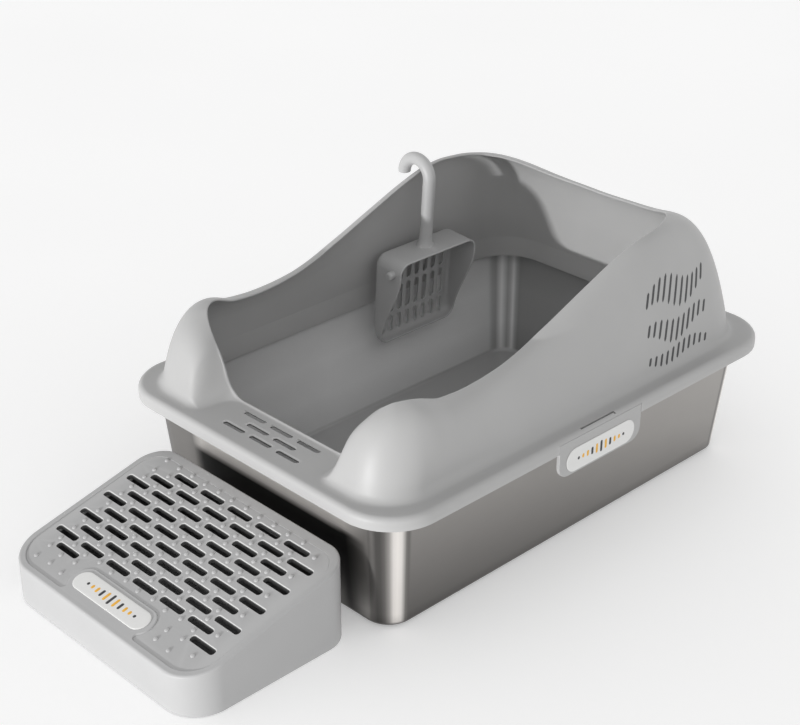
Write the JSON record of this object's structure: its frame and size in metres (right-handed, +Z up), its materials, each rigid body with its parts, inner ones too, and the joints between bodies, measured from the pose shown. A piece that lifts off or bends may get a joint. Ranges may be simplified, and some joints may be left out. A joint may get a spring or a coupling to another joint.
{
  "type": "stainless steel litter box",
  "caption": "Steel litter pan with a high-backed plastic guard clipped over its rim, a litter-catching step with lift-out grate at the entry and a slotted scoop hung on the guard",
  "frame": {"origin": "centre of the whole set on the floor: middle of the width, middle of the length from the step's front to the guard's back edge", "axes": "+X to the right seen from the step, +Y from the step to the high back, +Z up"},
  "size_m": [0.427, 0.803, 0.3194],
  "materials": {
    "steel": "satin drawn sheet with fine horizontal grain",
    "grey_plastic": "fine matt moulded texture",
    "badge_white": "smooth glossy",
    "pad_rubber": "matt rubber"
  },
  "bodies": {
    "pan": {"steel_pan": "steel", "pan_foot_pads": "pad_rubber"},
    "guard": {"guard_shell": "grey_plastic"},
    "right_clip": {"clip_right": "grey_plastic", "clip_badge_right": "badge_white"},
    "left_clip": {"clip_left": "grey_plastic", "clip_badge_left": "badge_white"},
    "step": {"step_shell": "grey_plastic", "step_badge": "badge_white", "step_foot_pads": "pad_rubber"},
    "grate": {"step_grate": "grey_plastic"},
    "scoop_body": {"scoop": "grey_plastic"}
  },
  "joints": [
    {"name": "guard_lift", "type": "slide", "parent": "pan", "child": "guard", "axis": [0, 0, 1], "range_m": [0, 0.2]},
    {"name": "clip_right_swing", "type": "hinge", "parent": "guard", "child": "right_clip", "pos_m": [0.2106, 0.0925, 0.1474], "axis": [0, -1, 0], "range_deg": [0, 18]},
    {"name": "clip_left_swing", "type": "hinge", "parent": "guard", "child": "left_clip", "pos_m": [-0.2106, 0.0925, 0.1474], "axis": [0, 1, 0], "range_deg": [0, 18]},
    {"name": "step_pull", "type": "slide", "parent": "pan", "child": "step", "axis": [0, -1, 0], "range_m": [0, 0.15]},
    {"name": "grate_lift", "type": "slide", "parent": "step", "child": "grate", "axis": [0, 0, 1], "range_m": [0, 0.12]},
    {"name": "scoop_lift", "type": "slide", "parent": "guard", "child": "scoop_body", "axis": [0.38, 0, 0.925], "range_m": [0, 0.27]}
  ]
}
